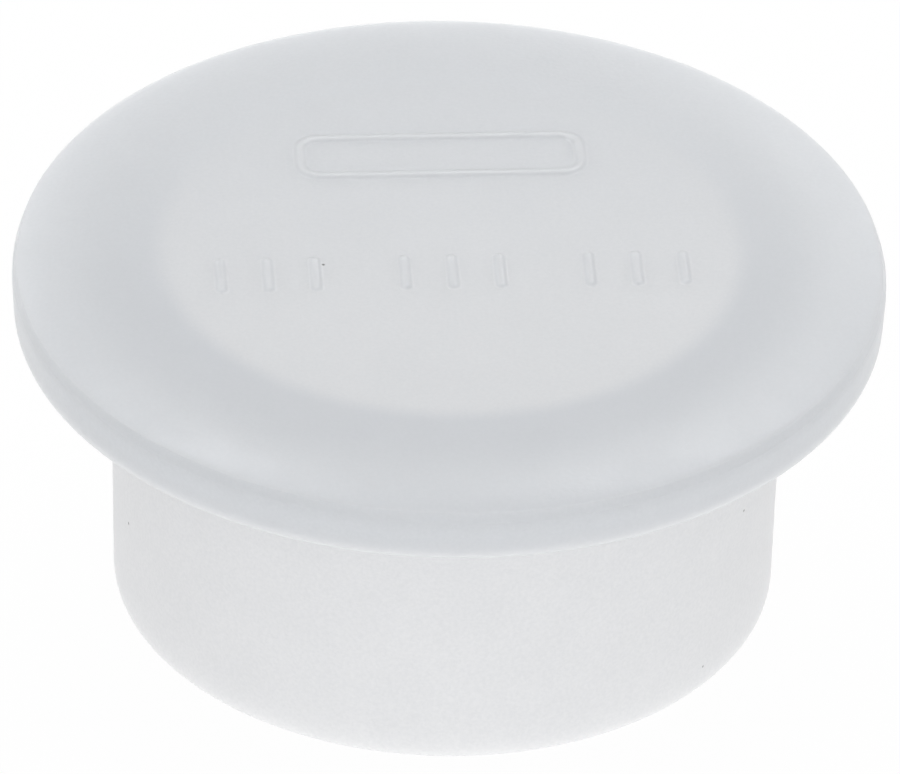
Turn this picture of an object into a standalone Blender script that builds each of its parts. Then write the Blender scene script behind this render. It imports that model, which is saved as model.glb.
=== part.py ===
"""A flanged plastic pipe cap: a wide, softly crowned flange over a short hollow stub that plugs a pipe's bore.

The real cap is one injection moulding in natural polyethylene, so it is one object here: a profile turned
about Z, with the raised marks joined to its top and the ejector marks cut into the roof of its hollow.
It stands on the open end of its stub: Z = 0 is that end face, and +Z points up through the flange.
"""

import math

import bmesh
import bpy

MM = 0.001

# Driving dimensions, in millimetres.
FLANGE_DIAMETER = 32.3
FLANGE_HEIGHT = 2.6
STUB_LENGTH = 11.8
STUB_ROOT_DIAMETER = 25.0
STUB_TIP_DIAMETER = 24.65
MOUTH_DIAMETER = 22.6
HOLLOW_ROOF_DIAMETER = 22.4
WEB_THICKNESS = 1.3

# The flange's rim: an elliptical crown from the flat top to a crisp shoulder, then a slightly barrelled side.
FLAT_TOP_RADIUS = 12.0
CROWN_REACH = 5.0
CROWN_DROP = 0.6
SHOULDER_INSET = 0.16
SHOULDER_ROUND = 0.12
WAIST_DROP = 1.3
LOWER_EDGE_INSET = 0.06
LOWER_EDGE_ROUND = 0.2

# The stub's small roundings.
ROOT_FILLET = 0.25
TIP_OUTER_ROUND = 0.3
TIP_INNER_ROUND = 0.15
ROOF_FILLET = 0.8

# The gate's vestige, in a shallow dimple in the middle of the hollow's roof.
GATE_DIMPLE_RADIUS = 1.6
GATE_DIMPLE_DEPTH = 0.2
GATE_DRAFT = 0.15
GATE_RADIUS = 0.6
GATE_LENGTH = 0.45

# The raised marks on the top: a plain frame behind a row of plain bars.
MARK_HEIGHT = 0.1
MARK_ROOT = 0.3
MARK_STROKE = 0.34
FRAME_CENTRE_Y = 6.0
FRAME_WIDTH = 10.8
FRAME_DEPTH = 2.8
FRAME_CORNER = 0.9
ROW_CENTRE_Y = -1.65
BAR_LENGTH = 2.1
BAR_PITCH = 1.75
BAR_GROUPS = (3, 3, 3)
GROUP_GAP = 3.3

# The ejector pins' round marks in the hollow's roof.
EJECTOR_COUNT = 3
EJECTOR_CIRCLE_RADIUS = 6.5
EJECTOR_RADIUS = 1.25
EJECTOR_DEPTH = 0.1

SEGMENTS = 96
TOP = STUB_LENGTH + FLANGE_HEIGHT
ROOF = TOP - WEB_THICKNESS


def clear_scene():
    for obj in list(bpy.data.objects):
        bpy.data.objects.remove(obj, do_unlink=True)


def arc(centre_r, centre_z, radius, start, end, steps):
    """Points on an arc in the profile's plane, between two angles in degrees from +R towards +Z."""
    angles = [math.radians(start + (end - start) * i / steps) for i in range(steps + 1)]
    return [(centre_r + radius * math.cos(a), centre_z + radius * math.sin(a)) for a in angles]


def crown_profile(steps=9):
    """The crown's ellipse, level where it leaves the flat top and steepest at the shoulder."""
    run = FLANGE_DIAMETER / 2 - SHOULDER_INSET - FLAT_TOP_RADIUS
    depth = CROWN_DROP / (1 - math.sqrt(1 - (run / CROWN_REACH) ** 2))
    points = []
    for i in range(steps + 1):
        x = run * i / steps
        fall = depth * (1 - math.sqrt(1 - (x / CROWN_REACH) ** 2))
        points.append((FLAT_TOP_RADIUS + x, TOP - fall))
    return points


def flange_profile():
    """The crown, the crisp shoulder, the side and its rounded lower edge."""
    rim = FLANGE_DIAMETER / 2
    crown = crown_profile()
    shoulder_r, shoulder_z = crown.pop()
    shoulder = arc(shoulder_r - SHOULDER_ROUND / 2, shoulder_z - SHOULDER_ROUND, SHOULDER_ROUND, 60, 10, 3)
    lower = rim - LOWER_EDGE_INSET - LOWER_EDGE_ROUND
    edge = arc(lower, STUB_LENGTH + LOWER_EDGE_ROUND, LOWER_EDGE_ROUND, 0, -90, 5)
    return crown + shoulder + [(rim, TOP - WAIST_DROP)] + edge


def stub_profile():
    """The root's fillet, the drafted outer wall, the end face and the drafted hollow up to its roof."""
    root = STUB_ROOT_DIAMETER / 2
    tip = STUB_TIP_DIAMETER / 2
    mouth = MOUTH_DIAMETER / 2
    roof_edge = HOLLOW_ROOF_DIAMETER / 2
    fillet = arc(root + ROOT_FILLET, STUB_LENGTH - ROOT_FILLET, ROOT_FILLET, 90, 180, 3)
    outer = arc(tip - TIP_OUTER_ROUND, TIP_OUTER_ROUND, TIP_OUTER_ROUND, 0, -90, 4)
    inner = arc(mouth + TIP_INNER_ROUND, TIP_INNER_ROUND, TIP_INNER_ROUND, -90, -180, 2)
    roof = arc(roof_edge - ROOF_FILLET, ROOF - ROOF_FILLET, ROOF_FILLET, 0, 90, 5)
    return fillet + outer + inner + roof


def gate_profile():
    """The dimple in the hollow's roof and the gate's stump that hangs in it."""
    floor = ROOF + GATE_DIMPLE_DEPTH
    return [
        (GATE_DIMPLE_RADIUS, ROOF),
        (GATE_DIMPLE_RADIUS - GATE_DRAFT, floor),
        (GATE_RADIUS + GATE_DRAFT, floor),
        (GATE_RADIUS, floor - GATE_LENGTH),
    ]


def new_object(name, bm):
    mesh = bpy.data.meshes.new(name)
    bm.to_mesh(mesh)
    bm.free()
    obj = bpy.data.objects.new(name, mesh)
    bpy.context.scene.collection.objects.link(obj)
    return obj


def turned(name, profile):
    """A closed solid turned about Z. The loops at the profile's two ends are filled flat."""
    bm = bmesh.new()
    verts = [bm.verts.new((r * MM, 0, z * MM)) for r, z in profile]
    edges = [bm.edges.new(pair) for pair in zip(verts, verts[1:])]
    bmesh.ops.spin(
        bm, geom=verts + edges, axis=(0, 0, 1), cent=(0, 0, 0), angle=math.tau, steps=SEGMENTS
    )
    bmesh.ops.remove_doubles(bm, verts=bm.verts, dist=0.001 * MM)
    bmesh.ops.holes_fill(bm, edges=bm.edges, sides=0)
    bmesh.ops.recalc_face_normals(bm, faces=bm.faces)
    return new_object(name, bm)


def upright(name, outline, low, high):
    """A straight solid on a closed outline of (x, y) points, between two heights."""
    bm = bmesh.new()
    base = bm.faces.new([bm.verts.new((x * MM, y * MM, low * MM)) for x, y in outline])
    raised = bmesh.ops.extrude_face_region(bm, geom=[base])["geom"]
    rise = [v for v in raised if isinstance(v, bmesh.types.BMVert)]
    bmesh.ops.translate(bm, verts=rise, vec=(0, 0, (high - low) * MM))
    bmesh.ops.recalc_face_normals(bm, faces=bm.faces)
    return new_object(name, bm)


def circle(x, y, radius, steps=32):
    angles = [math.tau * i / steps for i in range(steps)]
    return [(x + radius * math.cos(a), y + radius * math.sin(a)) for a in angles]


def rounded_box(x, y, width, depth, corner, steps=5):
    """An outline with four quarter-round corners, centred on (x, y). A corner of half the width gives a bar."""
    outline = []
    for quarter, (side_x, side_y) in enumerate(((1, 1), (-1, 1), (-1, -1), (1, -1))):
        centre_x = x + side_x * (width / 2 - corner)
        centre_y = y + side_y * (depth / 2 - corner)
        for i in range(steps + 1):
            angle = math.pi / 2 * (quarter + i / steps)
            outline.append((centre_x + corner * math.cos(angle), centre_y + corner * math.sin(angle)))
    return outline


def bar_places():
    """The bars' X positions: groups at an even pitch, with wider gaps between them, centred on the cap."""
    places, x = [], 0.0
    for count in BAR_GROUPS:
        places += [x + BAR_PITCH * i for i in range(count)]
        x = places[-1] + GROUP_GAP
    middle = (places[0] + places[-1]) / 2
    return [place - middle for place in places]


def apply_boolean(target, helper, operation):
    """Joins the helper to the target, or cuts it out, and keeps the helper as a hidden guide."""
    helper.hide_render = True
    helper.display_type = "WIRE"
    modifier = target.modifiers.new(helper.name, "BOOLEAN")
    modifier.operation = operation
    modifier.solver = "EXACT"
    modifier.object = helper


def raised_frame(low, high):
    """A plain frame with rounded corners and nothing in it."""
    outer = rounded_box(0, FRAME_CENTRE_Y, FRAME_WIDTH, FRAME_DEPTH, FRAME_CORNER)
    inset = 2 * MARK_STROKE
    inner = rounded_box(
        0, FRAME_CENTRE_Y, FRAME_WIDTH - inset, FRAME_DEPTH - inset, FRAME_CORNER - MARK_STROKE
    )
    frame = upright("mark_frame", outer, low, high)
    core = upright("mark_frame_core", inner, low - MARK_ROOT, high + MARK_ROOT)
    apply_boolean(frame, core, "DIFFERENCE")
    return frame


def raised_marks():
    """The frame and the bars, each rooted a little below the flat top."""
    low, high = TOP - MARK_ROOT, TOP + MARK_HEIGHT
    marks = [raised_frame(low, high)]
    for i, x in enumerate(bar_places()):
        outline = rounded_box(x, ROW_CENTRE_Y, MARK_STROKE, BAR_LENGTH, MARK_STROKE / 2 - 0.01)
        marks.append(upright(f"mark_bar_{i + 1}", outline, low, high))
    return marks


def ejector_cutters():
    """Round cutters that leave shallow marks in the hollow's roof."""
    cutters = []
    for i in range(EJECTOR_COUNT):
        angle = math.tau * (i + 0.25) / EJECTOR_COUNT
        x = EJECTOR_CIRCLE_RADIUS * math.cos(angle)
        y = EJECTOR_CIRCLE_RADIUS * math.sin(angle)
        outline = circle(x, y, EJECTOR_RADIUS)
        cutters.append(upright(f"ejector_cutter_{i + 1}", outline, ROOF - 1, ROOF + EJECTOR_DEPTH))
    return cutters


def natural_polyethylene():
    """Unpigmented polyethylene: milky, slightly cool, satin."""
    material = bpy.data.materials.new("natural_polyethylene")
    material.use_nodes = True
    shader = material.node_tree.nodes["Principled BSDF"]
    shader.inputs["Base Color"].default_value = (0.68, 0.70, 0.72, 1)
    shader.inputs["Roughness"].default_value = 0.42
    shader.inputs["Metallic"].default_value = 0.0
    shader.inputs["IOR"].default_value = 1.51
    shader.inputs["Subsurface Weight"].default_value = 1.0
    shader.inputs["Subsurface Radius"].default_value = (1, 1, 1)
    shader.inputs["Subsurface Scale"].default_value = 1.5 * MM
    return material


def cap_body():
    cap = turned("cap_body", flange_profile() + stub_profile() + gate_profile())
    for mark in raised_marks():
        apply_boolean(cap, mark, "UNION")
    for cutter in ejector_cutters():
        apply_boolean(cap, cutter, "DIFFERENCE")
    cap.data.materials.append(natural_polyethylene())
    cap.data.shade_smooth()
    cap.data.set_sharp_from_angle(angle=math.radians(30))
    return cap


clear_scene()
cap_body()
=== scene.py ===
"""The looks of the pipe cap: one moulding in milky, unpigmented polyethylene on a plain white floor.

The CAD model gives the cap's box. The visible cap is turned again here with a far finer profile, soft raised
marks and moulding details, and it stands in the same place. Thin sections look brighter and thick ones
greyer. Subsurface scattering in one closed mesh gives a little of that, and tints by place give the rest as
painted light and shade.
"""

import math

import bmesh
import bpy
from mathutils import Matrix, Vector


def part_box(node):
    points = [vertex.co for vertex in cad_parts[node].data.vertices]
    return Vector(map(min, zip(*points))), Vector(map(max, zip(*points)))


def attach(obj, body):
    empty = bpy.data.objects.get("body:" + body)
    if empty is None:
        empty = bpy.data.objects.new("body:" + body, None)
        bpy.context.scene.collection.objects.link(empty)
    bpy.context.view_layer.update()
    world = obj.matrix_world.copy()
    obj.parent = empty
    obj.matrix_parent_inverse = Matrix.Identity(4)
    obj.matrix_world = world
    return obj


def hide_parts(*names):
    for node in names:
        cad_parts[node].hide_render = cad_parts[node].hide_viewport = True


MM = 0.001

# Lengths are in millimetres. The CAD box gives the flange's radius and the height.
MARK_HEIGHT = 0.1
FLANGE_HEIGHT = 2.6
WEB_THICKNESS = 1.3

# The flange's rim.
FLAT_TOP_RADIUS = 12.0
CROWN_REACH = 5.0
CROWN_DROP = 0.6
SHOULDER_INSET = 0.16
SHOULDER_ROUND = 0.08
PARTING_RIDGE = 0.012
PARTING_WIDTH = 0.05
PARTING_DROP = 0.35
WAIST_DROP = 1.3
LOWER_EDGE_INSET = 0.06
LOWER_EDGE_ROUND = 0.1

# The stub and its hollow.
STUB_ROOT_RADIUS = 12.5
STUB_TIP_RADIUS = 12.325
MOUTH_RADIUS = 11.3
HOLLOW_ROOF_RADIUS = 11.2
ROOT_FILLET = 0.25
TIP_OUTER_ROUND = 0.3
TIP_INNER_ROUND = 0.15
ROOF_FILLET = 0.8

# The gate's vestige in the middle of the hollow's roof.
GATE_DIMPLE_RADIUS = 1.6
GATE_DIMPLE_DEPTH = 0.2
GATE_ROUND = 0.08
GATE_RADIUS = 0.6
GATE_LENGTH = 0.45

# The ejector pins' round marks in the hollow's roof.
EJECTOR_COUNT = 3
EJECTOR_CIRCLE_RADIUS = 6.5
EJECTOR_RADIUS = 1.25
EJECTOR_DEPTH = 0.1
EJECTOR_DRAFT = 0.04

# The raised marks on the top: a plain frame behind a row of plain bars, all with soft flanks.
MARK_STROKE = 0.34
MARK_FLANK = 0.15
MARK_ROOT = 0.3
FRAME_CENTRE_Y = 6.0
FRAME_WIDTH = 10.8
FRAME_DEPTH = 2.8
FRAME_CORNER = 0.9
ROW_CENTRE_Y = -1.65
BAR_LENGTH = 2.1
BAR_PITCH = 1.75
BAR_GROUPS = (3, 3, 3)
GROUP_GAP = 3.3

SEGMENTS = 320

# How the plastic looks, with the scattering length in millimetres. The tints are the plastic's colour with
# painted light and shade:
# paler as painted light through thin sections, greyer as painted shade on thick ones, and the front-to-back
# pairs paint light from one side.
WEB_FRONT_TINT_WITH_PAINTED_LIGHT = (0.652, 0.660, 0.672, 1)
WEB_BACK_TINT_WITH_PAINTED_LIGHT = (0.625, 0.638, 0.656, 1)
# Painted shade over the stub's wall, lighter at the back as painted light from one side.
FRONT_RING_TINT_WITH_PAINTED_SHADE = (0.578, 0.594, 0.618, 1)
BACK_RING_TINT_WITH_PAINTED_SHADE = (0.632, 0.647, 0.667, 1)
# Painted shade on the crown, lighter at the back as painted light from one side.
FRONT_CROWN_TINT_WITH_PAINTED_SHADE = (0.600, 0.615, 0.636, 1)
BACK_CROWN_TINT_WITH_PAINTED_SHADE = (0.640, 0.655, 0.675, 1)
# Painted shade: the flange's thick side is greyer than the stub, darker towards its lower edge and darkest
# along the lowest corner.
SIDE_TINT_WITH_PAINTED_SHADE = (0.660, 0.675, 0.696, 1)
EDGE_TINT_WITH_PAINTED_SHADE = (0.600, 0.613, 0.632, 1)
CORNER_TINT_WITH_PAINTED_SHADE = (0.45, 0.462, 0.478, 1)
CORNER_REACH = 0.15
# Painted light: the stub is paler, as if light passed through its thin wall.
STUB_TINT_WITH_PAINTED_LIGHT = (0.780, 0.783, 0.793, 1)
# Painted shade: the marks and the flange's lowest edge are darker only because their thin edges would look too
# bright.
MARK_TINT_WITH_PAINTED_SHADE = (0.575, 0.588, 0.605, 1)
MARK_SHADE = 0.05
CLOUD_TINT = (0.5, 0.52, 0.54, 1)
SPECK_TINT = (0.2, 0.2, 0.2, 1)
SPECK_RADIUS = 0.075
SPECK_DENSITY = 0.3
EDGE_SHADE = 1.1

# Where the tints of painted light and shade change: radii, Y positions, and heights above the flange's
# underside.
RING_BEGINS = (10.2, 11.3)
CROWN_BEGINS = (12.2, 15.0)
FRONT_TO_BACK = (-6, 11)
SIDE_ENDS = 1.0
EDGE_BEGINS = -0.1
STUB_BEGINS = (-0.15, -0.02)

# The surface's unevenness: features per millimetre, and heights in millimetres.
NOISE_RANGE = (0.3, 0.7)
CLOUD_SCALE = 0.45
CLOUD_STRENGTH = 0.05
MOTTLE_SCALE = 7.0
MOTTLE_STRENGTH = 0.15
SCUFF_SCALE = 0.9
FLANGE_ROUGHNESS = (0.31, 0.41)
STUB_ROUGHNESS = 0.6
WAVE_SCALE = 0.25
WAVE_HEIGHT = 0.02
DRAW_SCALE = 3.0
DRAW_STRETCH = 0.03
DRAW_HEIGHT = 0.004
DRAW_FADE = 0.5
GRAIN_SCALE = 5.0
GRAIN_HEIGHT = 0.006
SCATTER_LENGTH = 2.0
SCATTER_FORWARD = 0.3

# How bright the surroundings are. The floor is a light table, so it glows a little from below.
TENT_TOP = 0.67
TENT_FRONT = 1.8
TENT_BACK = 0.75
TENT_SIDES = 0.4
FLOOR_GLOW = 0.97
FLOOR_SHADE = 0.02
HIGH_BOX_POWER = 1.5
LOW_BOX_POWER = 0.5
SOFT_BOX_SIZE = 300
SOFT_BOX_DISTANCE = 900
HIGH_LEFT = (-0.22, 0.46, 0.86)
HIGH_RIGHT = (0.27, 0.50, 0.82)
LOW_LEFT = (-0.34, 0.81, 0.47)
LOW_RIGHT = (0.34, 0.81, 0.47)
TENT_TURN = (-0.2, 0.2)
TENT_SIDE_RANGE = (0.3, 0.9)
TENT_ROOF_RANGE = (0.15, 0.65)
FLOOR_RADIUS = 1500

# The camera looks down at the cap from far away, a little from its left, and leans by about a degree.
VIEW_ELEVATION = 35.1
VIEW_YAW = -4.3
VIEW_ROLL = -1.4
VIEW_DISTANCE = 500.0
VIEW_LENS = 542.0
VIEW_AIM_DROP = 5.18


def arc(centre_r, centre_z, radius, start, end, steps):
    """Points on an arc in the profile's plane, between two angles in degrees from +R towards +Z."""
    angles = [math.radians(start + (end - start) * i / steps) for i in range(steps + 1)]
    return [(centre_r + radius * math.cos(a), centre_z + radius * math.sin(a)) for a in angles]


def crown_profile(rim, top, steps=28):
    """The crown's ellipse, level where it leaves the flat top and steepest at the shoulder."""
    run = rim - SHOULDER_INSET - FLAT_TOP_RADIUS
    depth = CROWN_DROP / (1 - math.sqrt(1 - (run / CROWN_REACH) ** 2))
    points = []
    for i in range(steps + 1):
        x = run * i / steps
        fall = depth * (1 - math.sqrt(1 - (x / CROWN_REACH) ** 2))
        points.append((FLAT_TOP_RADIUS + x, top - fall))
    return points


def flange_profile(rim, top):
    """The crown, the crisp shoulder, the side with the mould's faint parting line, and its lower edge."""
    crown = crown_profile(rim, top)
    shoulder_r, shoulder_z = crown.pop()
    round_r = shoulder_r - SHOULDER_ROUND / 2
    shoulder = arc(round_r, shoulder_z - SHOULDER_ROUND, SHOULDER_ROUND, 60, 5, 5)
    side_r, side_z = shoulder[-1]
    reach = side_z - (top - WAIST_DROP)
    side = []
    for i in range(1, 25):
        z = side_z - reach * i / 24
        ridge = PARTING_RIDGE * math.exp(-(((z - side_z + PARTING_DROP) / PARTING_WIDTH) ** 2))
        side.append((rim - (rim - side_r) * (1 - i / 24) ** 2 + ridge, z))
    lower = rim - LOWER_EDGE_INSET - LOWER_EDGE_ROUND
    underside = top - FLANGE_HEIGHT
    edge = arc(lower, underside + LOWER_EDGE_ROUND, LOWER_EDGE_ROUND, 0, -90, 12)
    return crown + shoulder + side + edge


def stub_profile(underside, roof):
    """The root's fillet, the drafted outer wall, the end face and the drafted hollow up to its roof."""
    root = STUB_ROOT_RADIUS
    fillet = arc(root + ROOT_FILLET, underside - ROOT_FILLET, ROOT_FILLET, 90, 180, 8)
    tip = arc(STUB_TIP_RADIUS - TIP_OUTER_ROUND, TIP_OUTER_ROUND, TIP_OUTER_ROUND, 0, -90, 10)
    mouth = arc(MOUTH_RADIUS + TIP_INNER_ROUND, TIP_INNER_ROUND, TIP_INNER_ROUND, -90, -180, 6)
    corner = arc(HOLLOW_ROOF_RADIUS - ROOF_FILLET, roof - ROOF_FILLET, ROOF_FILLET, 0, 90, 14)
    return fillet + tip + mouth + corner


def gate_profile(roof):
    """The dimple in the hollow's roof and the gate's torn stump that hangs in it."""
    floor = roof + GATE_DIMPLE_DEPTH
    rim = arc(GATE_DIMPLE_RADIUS, roof + GATE_ROUND, GATE_ROUND, -90, -180, 4)
    wall = arc(GATE_DIMPLE_RADIUS - 2 * GATE_ROUND, floor - GATE_ROUND, GATE_ROUND, 0, 90, 4)
    foot = arc(GATE_RADIUS + GATE_ROUND, floor - GATE_ROUND, GATE_ROUND, 90, 180, 4)
    tip = arc(GATE_RADIUS - GATE_ROUND, floor - GATE_LENGTH + GATE_ROUND, GATE_ROUND, 0, -90, 4)
    return rim + wall + foot + tip


def new_object(name, bm):
    mesh = bpy.data.meshes.new(name)
    bm.to_mesh(mesh)
    bm.free()
    obj = bpy.data.objects.new(name, mesh)
    bpy.context.scene.collection.objects.link(obj)
    return obj


def turned(name, profile):
    """A closed solid turned about Z. The loops at the profile's two ends are filled flat."""
    bm = bmesh.new()
    verts = [bm.verts.new((r * MM, 0, z * MM)) for r, z in profile]
    edges = [bm.edges.new(pair) for pair in zip(verts, verts[1:])]
    bmesh.ops.spin(
        bm, geom=verts + edges, axis=(0, 0, 1), cent=(0, 0, 0), angle=math.tau, steps=SEGMENTS
    )
    bmesh.ops.remove_doubles(bm, verts=bm.verts, dist=0.001 * MM)
    bmesh.ops.holes_fill(bm, edges=bm.edges, sides=0)
    bmesh.ops.recalc_face_normals(bm, faces=bm.faces)
    return new_object(name, bm)


def rounded_box(x, y, width, depth, corner, z, steps=9):
    """A level ring of points with four quarter-round corners, centred on (x, y)."""
    ring = []
    for quarter, (side_x, side_y) in enumerate(((1, 1), (-1, 1), (-1, -1), (1, -1))):
        centre_x = x + side_x * (width / 2 - corner)
        centre_y = y + side_y * (depth / 2 - corner)
        for i in range(steps + 1):
            angle = math.pi / 2 * (quarter + i / steps)
            ring.append(
                (centre_x + corner * math.cos(angle), centre_y + corner * math.sin(angle), z)
            )
    return ring


def flank(top, steps=8):
    """(outward offset, height) pairs that climb a mark's soft side from below the top face."""
    climb = [(MARK_FLANK, top - MARK_ROOT)]
    for i in range(steps + 1):
        t = i / steps
        climb.append((MARK_FLANK * (1 - 2 * t), top + MARK_HEIGHT * t * t * (3 - 2 * t)))
    climb[1] = (MARK_FLANK, top - 0.002)
    return climb


def add_loft(bm, rings, closed):
    """Faces between successive rings. A closed loft joins last to first, an open one has two caps."""
    loops = [[bm.verts.new([c * MM for c in point]) for point in ring] for ring in rings]
    pairs = list(zip(loops, loops[1:]))
    if closed:
        pairs.append((loops[-1], loops[0]))
    else:
        bm.faces.new(loops[0])
        bm.faces.new(loops[-1])
    for lower, upper in pairs:
        for i in range(len(lower)):
            j = (i + 1) % len(lower)
            bm.faces.new((lower[i], lower[j], upper[j], upper[i]))


def bar_places():
    """The bars' X positions: groups at an even pitch, with wider gaps between them, centred on the cap."""
    places, x = [], 0.0
    for count in BAR_GROUPS:
        places += [x + BAR_PITCH * i for i in range(count)]
        x = places[-1] + GROUP_GAP
    middle = (places[0] + places[-1]) / 2
    return [place - middle for place in places]


def raised_marks(top):
    """The frame and the bars as one object of separate soft-sided solids, each rooted below the top face."""
    bm = bmesh.new()
    half = MARK_STROKE / 2
    climb = flank(top)

    def frame_ring(offset, z):
        return rounded_box(
            0, FRAME_CENTRE_Y, FRAME_WIDTH + 2 * offset, FRAME_DEPTH + 2 * offset, FRAME_CORNER + offset, z
        )

    outside = [frame_ring(o, z) for o, z in climb]
    inside = [frame_ring(-MARK_STROKE - o, z) for o, z in reversed(climb)]
    add_loft(bm, outside + inside, closed=True)
    for x in bar_places():
        rings = [
            rounded_box(
                x, ROW_CENTRE_Y, 2 * (half + o), BAR_LENGTH + 2 * o, half + o - 0.005, z, steps=5
            )
            for o, z in climb
        ]
        add_loft(bm, rings, closed=False)
    bmesh.ops.recalc_face_normals(bm, faces=bm.faces)
    return new_object("raised_marks", bm)


def ejector_pins(roof):
    """The ejector pins' tips, each a slightly tapered disc that stands a little way into the roof."""
    bm = bmesh.new()
    for i in range(EJECTOR_COUNT):
        angle = math.tau * (i + 0.25) / EJECTOR_COUNT
        x = EJECTOR_CIRCLE_RADIUS * math.cos(angle)
        y = EJECTOR_CIRCLE_RADIUS * math.sin(angle)
        levels = ((0, roof - 0.3), (0, roof), (EJECTOR_DRAFT, roof + EJECTOR_DEPTH))
        rings = []
        for inset, z in levels:
            size = 2 * (EJECTOR_RADIUS - inset)
            rings.append(rounded_box(x, y, size, size, size / 2 - 0.001, z, steps=16))
        add_loft(bm, rings, closed=False)
    bmesh.ops.recalc_face_normals(bm, faces=bm.faces)
    return new_object("ejector_pins", bm)


def boolean(target, helper, operation):
    """Joins the helper to the target, or cuts it out, and removes the helper."""
    modifier = target.modifiers.new(helper.name, "BOOLEAN")
    modifier.operation = operation
    modifier.solver = "EXACT"
    modifier.object = helper
    apply_modifiers(target)
    bpy.data.objects.remove(helper)


def apply_modifiers(obj):
    """Keeps the evaluated mesh as the object's own."""
    evaluated = obj.evaluated_get(bpy.context.evaluated_depsgraph_get())
    mesh = bpy.data.meshes.new_from_object(evaluated)
    obj.modifiers.clear()
    obj.data = mesh


def moulded_cap():
    low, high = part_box("cap_body")
    rim = (high.x - low.x) / 2 / MM
    top = high.z / MM - MARK_HEIGHT
    roof = top - WEB_THICKNESS
    profile = flange_profile(rim, top) + stub_profile(top - FLANGE_HEIGHT, roof) + gate_profile(roof)
    cap = turned("moulded_cap", profile)
    boolean(cap, raised_marks(top), "UNION")
    boolean(cap, ejector_pins(roof), "DIFFERENCE")
    cap.data.shade_smooth()
    cap.data.set_sharp_from_angle(angle=math.radians(30))
    shading = cap.modifiers.new("even_shading", "WEIGHTED_NORMAL")
    shading.weight = 80
    shading.keep_sharp = True
    apply_modifiers(cap)
    return cap


def node(tree, kind, **settings):
    """A new node with its properties set."""
    made = tree.nodes.new(kind)
    for name, value in settings.items():
        setattr(made, name, value)
    return made


def noise(tree, vector, scale, detail, roughness=0.55):
    made = node(tree, "ShaderNodeTexNoise")
    made.inputs["Scale"].default_value = scale / MM
    made.inputs["Detail"].default_value = detail
    made.inputs["Roughness"].default_value = roughness
    tree.links.new(vector, made.inputs["Vector"])
    return made.outputs["Fac"]


def between(tree, value, low, high, out_low, out_high):
    """Maps a value's range to another, with its ends clamped."""
    made = node(tree, "ShaderNodeMapRange")
    for name, number in zip(("From Min", "From Max", "To Min", "To Max"), (low, high, out_low, out_high)):
        made.inputs[name].default_value = number
    tree.links.new(value, made.inputs["Value"])
    return made.outputs["Result"]


def bump(tree, height, distance, normal=None):
    made = node(tree, "ShaderNodeBump")
    made.inputs["Strength"].default_value = 1.0
    made.inputs["Distance"].default_value = distance * MM
    tree.links.new(height, made.inputs["Height"])
    if normal is not None:
        tree.links.new(normal, made.inputs["Normal"])
    return made.outputs["Normal"]


def mixed(tree, factor, first, second):
    """A colour between two others. Each is a colour or a node's output."""
    made = node(tree, "ShaderNodeMix", data_type="RGBA")
    tree.links.new(factor, made.inputs["Factor"])
    for name, colour in (("A", first), ("B", second)):
        if isinstance(colour, tuple):
            made.inputs[name].default_value = colour
        else:
            tree.links.new(colour, made.inputs[name])
    return made.outputs["Result"]


def times(tree, first, second):
    """The product of two values."""
    made = node(tree, "ShaderNodeMath", operation="MULTIPLY")
    tree.links.new(first, made.inputs[0])
    tree.links.new(second, made.inputs[1])
    return made.outputs["Value"]


def smooth_step(tree, value, low, high):
    """0 at low, 1 at high, and a soft step between them. Low may be the greater one."""
    made = node(tree, "ShaderNodeMapRange", interpolation_type="SMOOTHSTEP")
    made.inputs["From Min"].default_value = low * MM
    made.inputs["From Max"].default_value = high * MM
    tree.links.new(value, made.inputs["Value"])
    return made.outputs["Result"]


def flange_mask(tree, height, underside):
    """0 on the stub and 1 on the flange."""
    low, high = STUB_BEGINS
    return smooth_step(tree, height, underside + low, underside + high)


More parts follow.
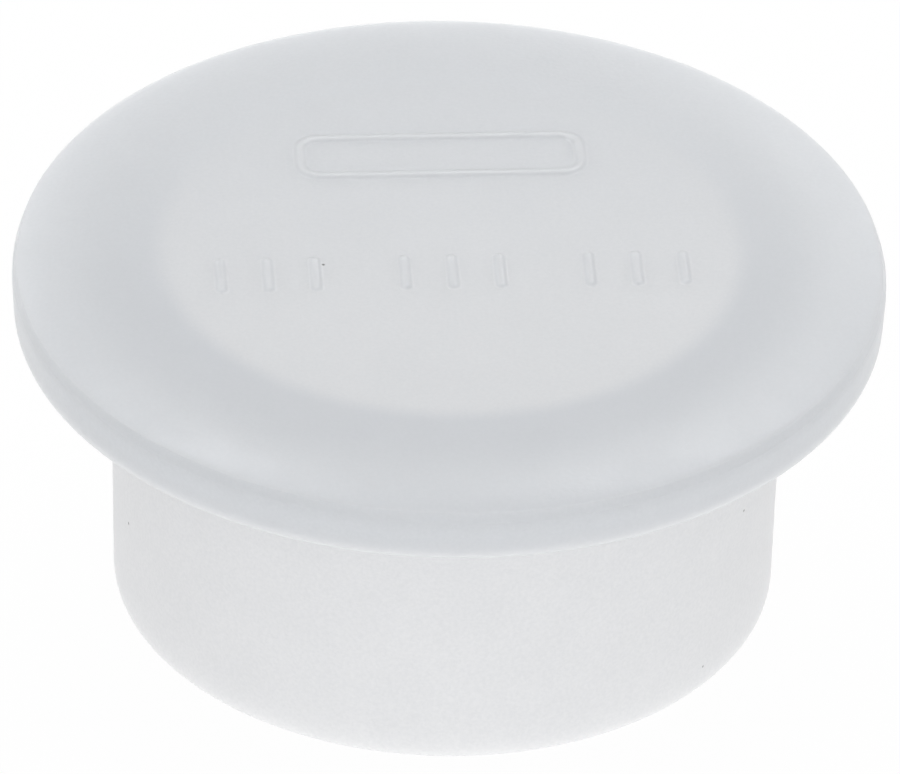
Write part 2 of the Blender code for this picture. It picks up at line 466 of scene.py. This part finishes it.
def painted_light_and_shade_tint(tree, place):
    """The plastic's colour with painted light and shade by place: paler as painted light in the thin web and
    stub, greyer as painted shade over the stub's wall and on the flange's side.
    """
    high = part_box("cap_body")[1]
    flange_radius = high.x / MM
    top = high.z / MM - MARK_HEIGHT
    underside = top - FLANGE_HEIGHT
    parts = node(tree, "ShaderNodeSeparateXYZ")
    tree.links.new(place, parts.inputs["Vector"])
    height = parts.outputs["Z"]
    flat = node(tree, "ShaderNodeVectorMath", operation="MULTIPLY")
    flat.inputs[1].default_value = (1, 1, 0)
    tree.links.new(place, flat.inputs[0])
    radius = node(tree, "ShaderNodeVectorMath", operation="LENGTH")
    tree.links.new(flat.outputs["Vector"], radius.inputs[0])
    away = radius.outputs["Value"]
    # Painted light from one side: from front to back the web grows darker and the ring and crown paler.
    backward = smooth_step(tree, parts.outputs["Y"], *FRONT_TO_BACK)
    middle = mixed(tree, backward, WEB_FRONT_TINT_WITH_PAINTED_LIGHT, WEB_BACK_TINT_WITH_PAINTED_LIGHT)
    ring = mixed(tree, backward, FRONT_RING_TINT_WITH_PAINTED_SHADE, BACK_RING_TINT_WITH_PAINTED_SHADE)
    rim = mixed(tree, backward, FRONT_CROWN_TINT_WITH_PAINTED_SHADE, BACK_CROWN_TINT_WITH_PAINTED_SHADE)
    web = mixed(tree, smooth_step(tree, away, *RING_BEGINS), middle, ring)
    # Painted shade on the raised marks, whose thin edges would look too bright.
    marked = mixed(tree, smooth_step(tree, height, top, top + MARK_SHADE), web, MARK_TINT_WITH_PAINTED_SHADE)
    crown = mixed(tree, smooth_step(tree, away, *CROWN_BEGINS), marked, rim)
    above_side = smooth_step(tree, height, underside + SIDE_ENDS, top - CROWN_DROP)
    side = mixed(tree, above_side, SIDE_TINT_WITH_PAINTED_SHADE, crown)
    # Painted shade: the side grows darker towards the flange's lower edge.
    above_edge = smooth_step(tree, height, underside + EDGE_BEGINS, underside + EDGE_SHADE)
    edge = mixed(tree, above_edge, EDGE_TINT_WITH_PAINTED_SHADE, side)
    # Painted shade along the flange's lowest corner.
    outermost = smooth_step(tree, away, flange_radius - 2 * CORNER_REACH, flange_radius - CORNER_REACH)
    lowest = smooth_step(tree, height, underside + CORNER_REACH, underside)
    corner = mixed(tree, times(tree, outermost, lowest), edge, CORNER_TINT_WITH_PAINTED_SHADE)
    # Painted light: the stub is paler, as if light passed through its thin wall.
    return mixed(tree, flange_mask(tree, height, underside), STUB_TINT_WITH_PAINTED_LIGHT, corner)


def specks(tree, place):
    """A few tiny dark specks: foreign grains moulded into the plastic."""
    cells = node(tree, "ShaderNodeTexVoronoi")
    cells.inputs["Scale"].default_value = SPECK_DENSITY / MM
    tree.links.new(place, cells.inputs["Vector"])
    reach = SPECK_RADIUS * SPECK_DENSITY
    return between(tree, cells.outputs["Distance"], 0.5 * reach, reach, 1, 0)


def draw_marks(tree, place):
    """Faint scratches along the stub's wall from the mould: noise that hardly changes with Z."""
    stretched = node(tree, "ShaderNodeVectorMath", operation="MULTIPLY")
    stretched.inputs[1].default_value = (1, 1, DRAW_STRETCH)
    tree.links.new(place, stretched.inputs[0])
    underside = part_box("cap_body")[1].z / MM - MARK_HEIGHT - FLANGE_HEIGHT
    parts = node(tree, "ShaderNodeSeparateXYZ")
    tree.links.new(place, parts.inputs["Vector"])
    on_stub = smooth_step(tree, parts.outputs["Z"], underside, underside - DRAW_FADE)
    return times(tree, noise(tree, stretched.outputs["Vector"], DRAW_SCALE, 3), on_stub)


def stub_roughness(tree, place, flange_roughness):
    """The stub is left coarser by the mould than the flange, so that it holds in its pipe."""
    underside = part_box("cap_body")[1].z / MM - MARK_HEIGHT - FLANGE_HEIGHT
    parts = node(tree, "ShaderNodeSeparateXYZ")
    tree.links.new(place, parts.inputs["Vector"])
    flange = flange_mask(tree, parts.outputs["Z"], underside)
    made = node(tree, "ShaderNodeMix")
    made.inputs["A"].default_value = STUB_ROUGHNESS
    tree.links.new(flange, made.inputs["Factor"])
    tree.links.new(flange_roughness, made.inputs["B"])
    return made.outputs["Result"]


def natural_polyethylene():
    material = bpy.data.materials.new("natural_polyethylene")
    material.use_nodes = True
    tree = material.node_tree
    shader = tree.nodes["Principled BSDF"]
    shader.inputs["Metallic"].default_value = 0.0
    shader.inputs["IOR"].default_value = 1.51
    shader.inputs["Subsurface Weight"].default_value = 1.0
    shader.inputs["Subsurface Radius"].default_value = (1.0, 1.0, 1.0)
    shader.inputs["Subsurface Scale"].default_value = SCATTER_LENGTH * MM
    shader.inputs["Subsurface Anisotropy"].default_value = SCATTER_FORWARD
    place = node(tree, "ShaderNodeTexCoord").outputs["Object"]
    clouds = between(tree, noise(tree, place, CLOUD_SCALE, 3), *NOISE_RANGE, 0, CLOUD_STRENGTH)
    clouded = mixed(tree, clouds, painted_light_and_shade_tint(tree, place), CLOUD_TINT)
    mottle = between(tree, noise(tree, place, MOTTLE_SCALE, 2), *NOISE_RANGE, 0, MOTTLE_STRENGTH)
    mottled = mixed(tree, mottle, clouded, CLOUD_TINT)
    tree.links.new(mixed(tree, specks(tree, place), mottled, SPECK_TINT), shader.inputs["Base Color"])
    scuff = between(tree, noise(tree, place, SCUFF_SCALE, 4), *NOISE_RANGE, *FLANGE_ROUGHNESS)
    tree.links.new(stub_roughness(tree, place, scuff), shader.inputs["Roughness"])
    waves = bump(tree, noise(tree, place, WAVE_SCALE, 1), WAVE_HEIGHT)
    draws = bump(tree, draw_marks(tree, place), DRAW_HEIGHT, waves)
    grain = bump(tree, noise(tree, place, GRAIN_SCALE, 2), GRAIN_HEIGHT, draws)
    tree.links.new(grain, shader.inputs["Normal"])
    return material


def floor():
    bm = bmesh.new()
    bmesh.ops.create_circle(bm, cap_ends=True, segments=96, radius=FLOOR_RADIUS * MM)
    ground = new_object("floor", bm)
    material = bpy.data.materials.new("white_floor")
    material.use_nodes = True
    shader = material.node_tree.nodes["Principled BSDF"]
    shader.inputs["Base Color"].default_value = (FLOOR_SHADE, FLOOR_SHADE, FLOOR_SHADE, 1)
    shader.inputs["Roughness"].default_value = 0.9
    shader.inputs["Specular IOR Level"].default_value = 0.1
    shader.inputs["Emission Color"].default_value = (1, 1, 1, 1)
    shader.inputs["Emission Strength"].default_value = FLOOR_GLOW
    ground.data.materials.append(material)


def soft_box(name, toward, power, aim):
    """A square soft light that faces the cap."""
    data = bpy.data.lights.new(name, "AREA")
    data.shape = "SQUARE"
    data.size = SOFT_BOX_SIZE * MM
    data.energy = power
    light = bpy.data.objects.new(name, data)
    bpy.context.scene.collection.objects.link(light)
    direction = Vector(toward).normalized()
    light.location = aim + direction * SOFT_BOX_DISTANCE * MM
    light.rotation_euler = direction.to_track_quat("Z", "Y").to_euler()


def white_tent():
    """A world that is white all round, and low down is brightest in front of the cap, dimmest beside it."""
    world = bpy.data.worlds.new("white_tent")
    world.use_nodes = True
    tree = world.node_tree
    toward = node(tree, "ShaderNodeTexCoord").outputs["Generated"]
    parts = node(tree, "ShaderNodeSeparateXYZ")
    tree.links.new(toward, parts.inputs["Vector"])
    sideways = node(tree, "ShaderNodeMath", operation="ABSOLUTE")
    tree.links.new(parts.outputs["X"], sideways.inputs[0])
    levels = TENT_FRONT, TENT_BACK, TENT_SIDES, TENT_TOP
    front, back, sides, top = [(level, level, level, 1) for level in levels]
    ends = mixed(tree, between(tree, parts.outputs["Y"], *TENT_TURN, 0, 1), front, back)
    walls = mixed(tree, between(tree, sideways.outputs["Value"], *TENT_SIDE_RANGE, 0, 1), ends, sides)
    roof = between(tree, parts.outputs["Z"], *TENT_ROOF_RANGE, 0, 1)
    tree.links.new(mixed(tree, roof, walls, top), tree.nodes["Background"].inputs["Color"])
    bpy.context.scene.world = world


def studio_light(aim):
    white_tent()
    soft_box("high_left", HIGH_LEFT, HIGH_BOX_POWER, aim)
    soft_box("high_right", HIGH_RIGHT, HIGH_BOX_POWER, aim)
    soft_box("low_left", LOW_LEFT, LOW_BOX_POWER, aim)
    soft_box("low_right", LOW_RIGHT, LOW_BOX_POWER, aim)


def camera(aim):
    """Stands where the cap is seen from above and in front, with the flange's middle a little above centre."""
    elevation, roll = math.radians(VIEW_ELEVATION), math.radians(VIEW_ROLL)
    back = Vector((0, -math.cos(elevation), math.sin(elevation)))
    up = Vector((0, math.sin(elevation), math.cos(elevation)))
    right = Vector((1, 0, 0))
    across = math.cos(roll) * right - math.sin(roll) * up
    upward = math.sin(roll) * right + math.cos(roll) * up
    turn = Matrix.Rotation(math.radians(VIEW_YAW), 3, "Z")
    axes = Matrix([turn @ across, turn @ upward, turn @ back]).transposed()
    data = bpy.data.cameras.new("camera")
    data.lens = VIEW_LENS
    data.clip_end = 10
    viewer = bpy.data.objects.new("camera", data)
    bpy.context.scene.collection.objects.link(viewer)
    place = aim + axes @ Vector((0, -VIEW_AIM_DROP * MM, VIEW_DISTANCE * MM))
    viewer.matrix_world = Matrix.Translation(place) @ axes.to_4x4()
    bpy.context.scene.camera = viewer


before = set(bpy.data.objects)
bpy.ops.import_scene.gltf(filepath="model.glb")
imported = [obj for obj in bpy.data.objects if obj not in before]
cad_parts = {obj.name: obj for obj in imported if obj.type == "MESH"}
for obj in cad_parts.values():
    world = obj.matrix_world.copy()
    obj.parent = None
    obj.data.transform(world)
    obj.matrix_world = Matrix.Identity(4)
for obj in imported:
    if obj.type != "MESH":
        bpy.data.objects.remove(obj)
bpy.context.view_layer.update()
aim = Vector((0, 0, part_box("cap_body")[1].z - MARK_HEIGHT * MM))
bpy.context.scene.view_settings.view_transform = "Standard"
camera(aim)
studio_light(aim)
floor()
cap = moulded_cap()
cap.data.materials.append(natural_polyethylene())
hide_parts("cap_body")
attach(cap, "root")
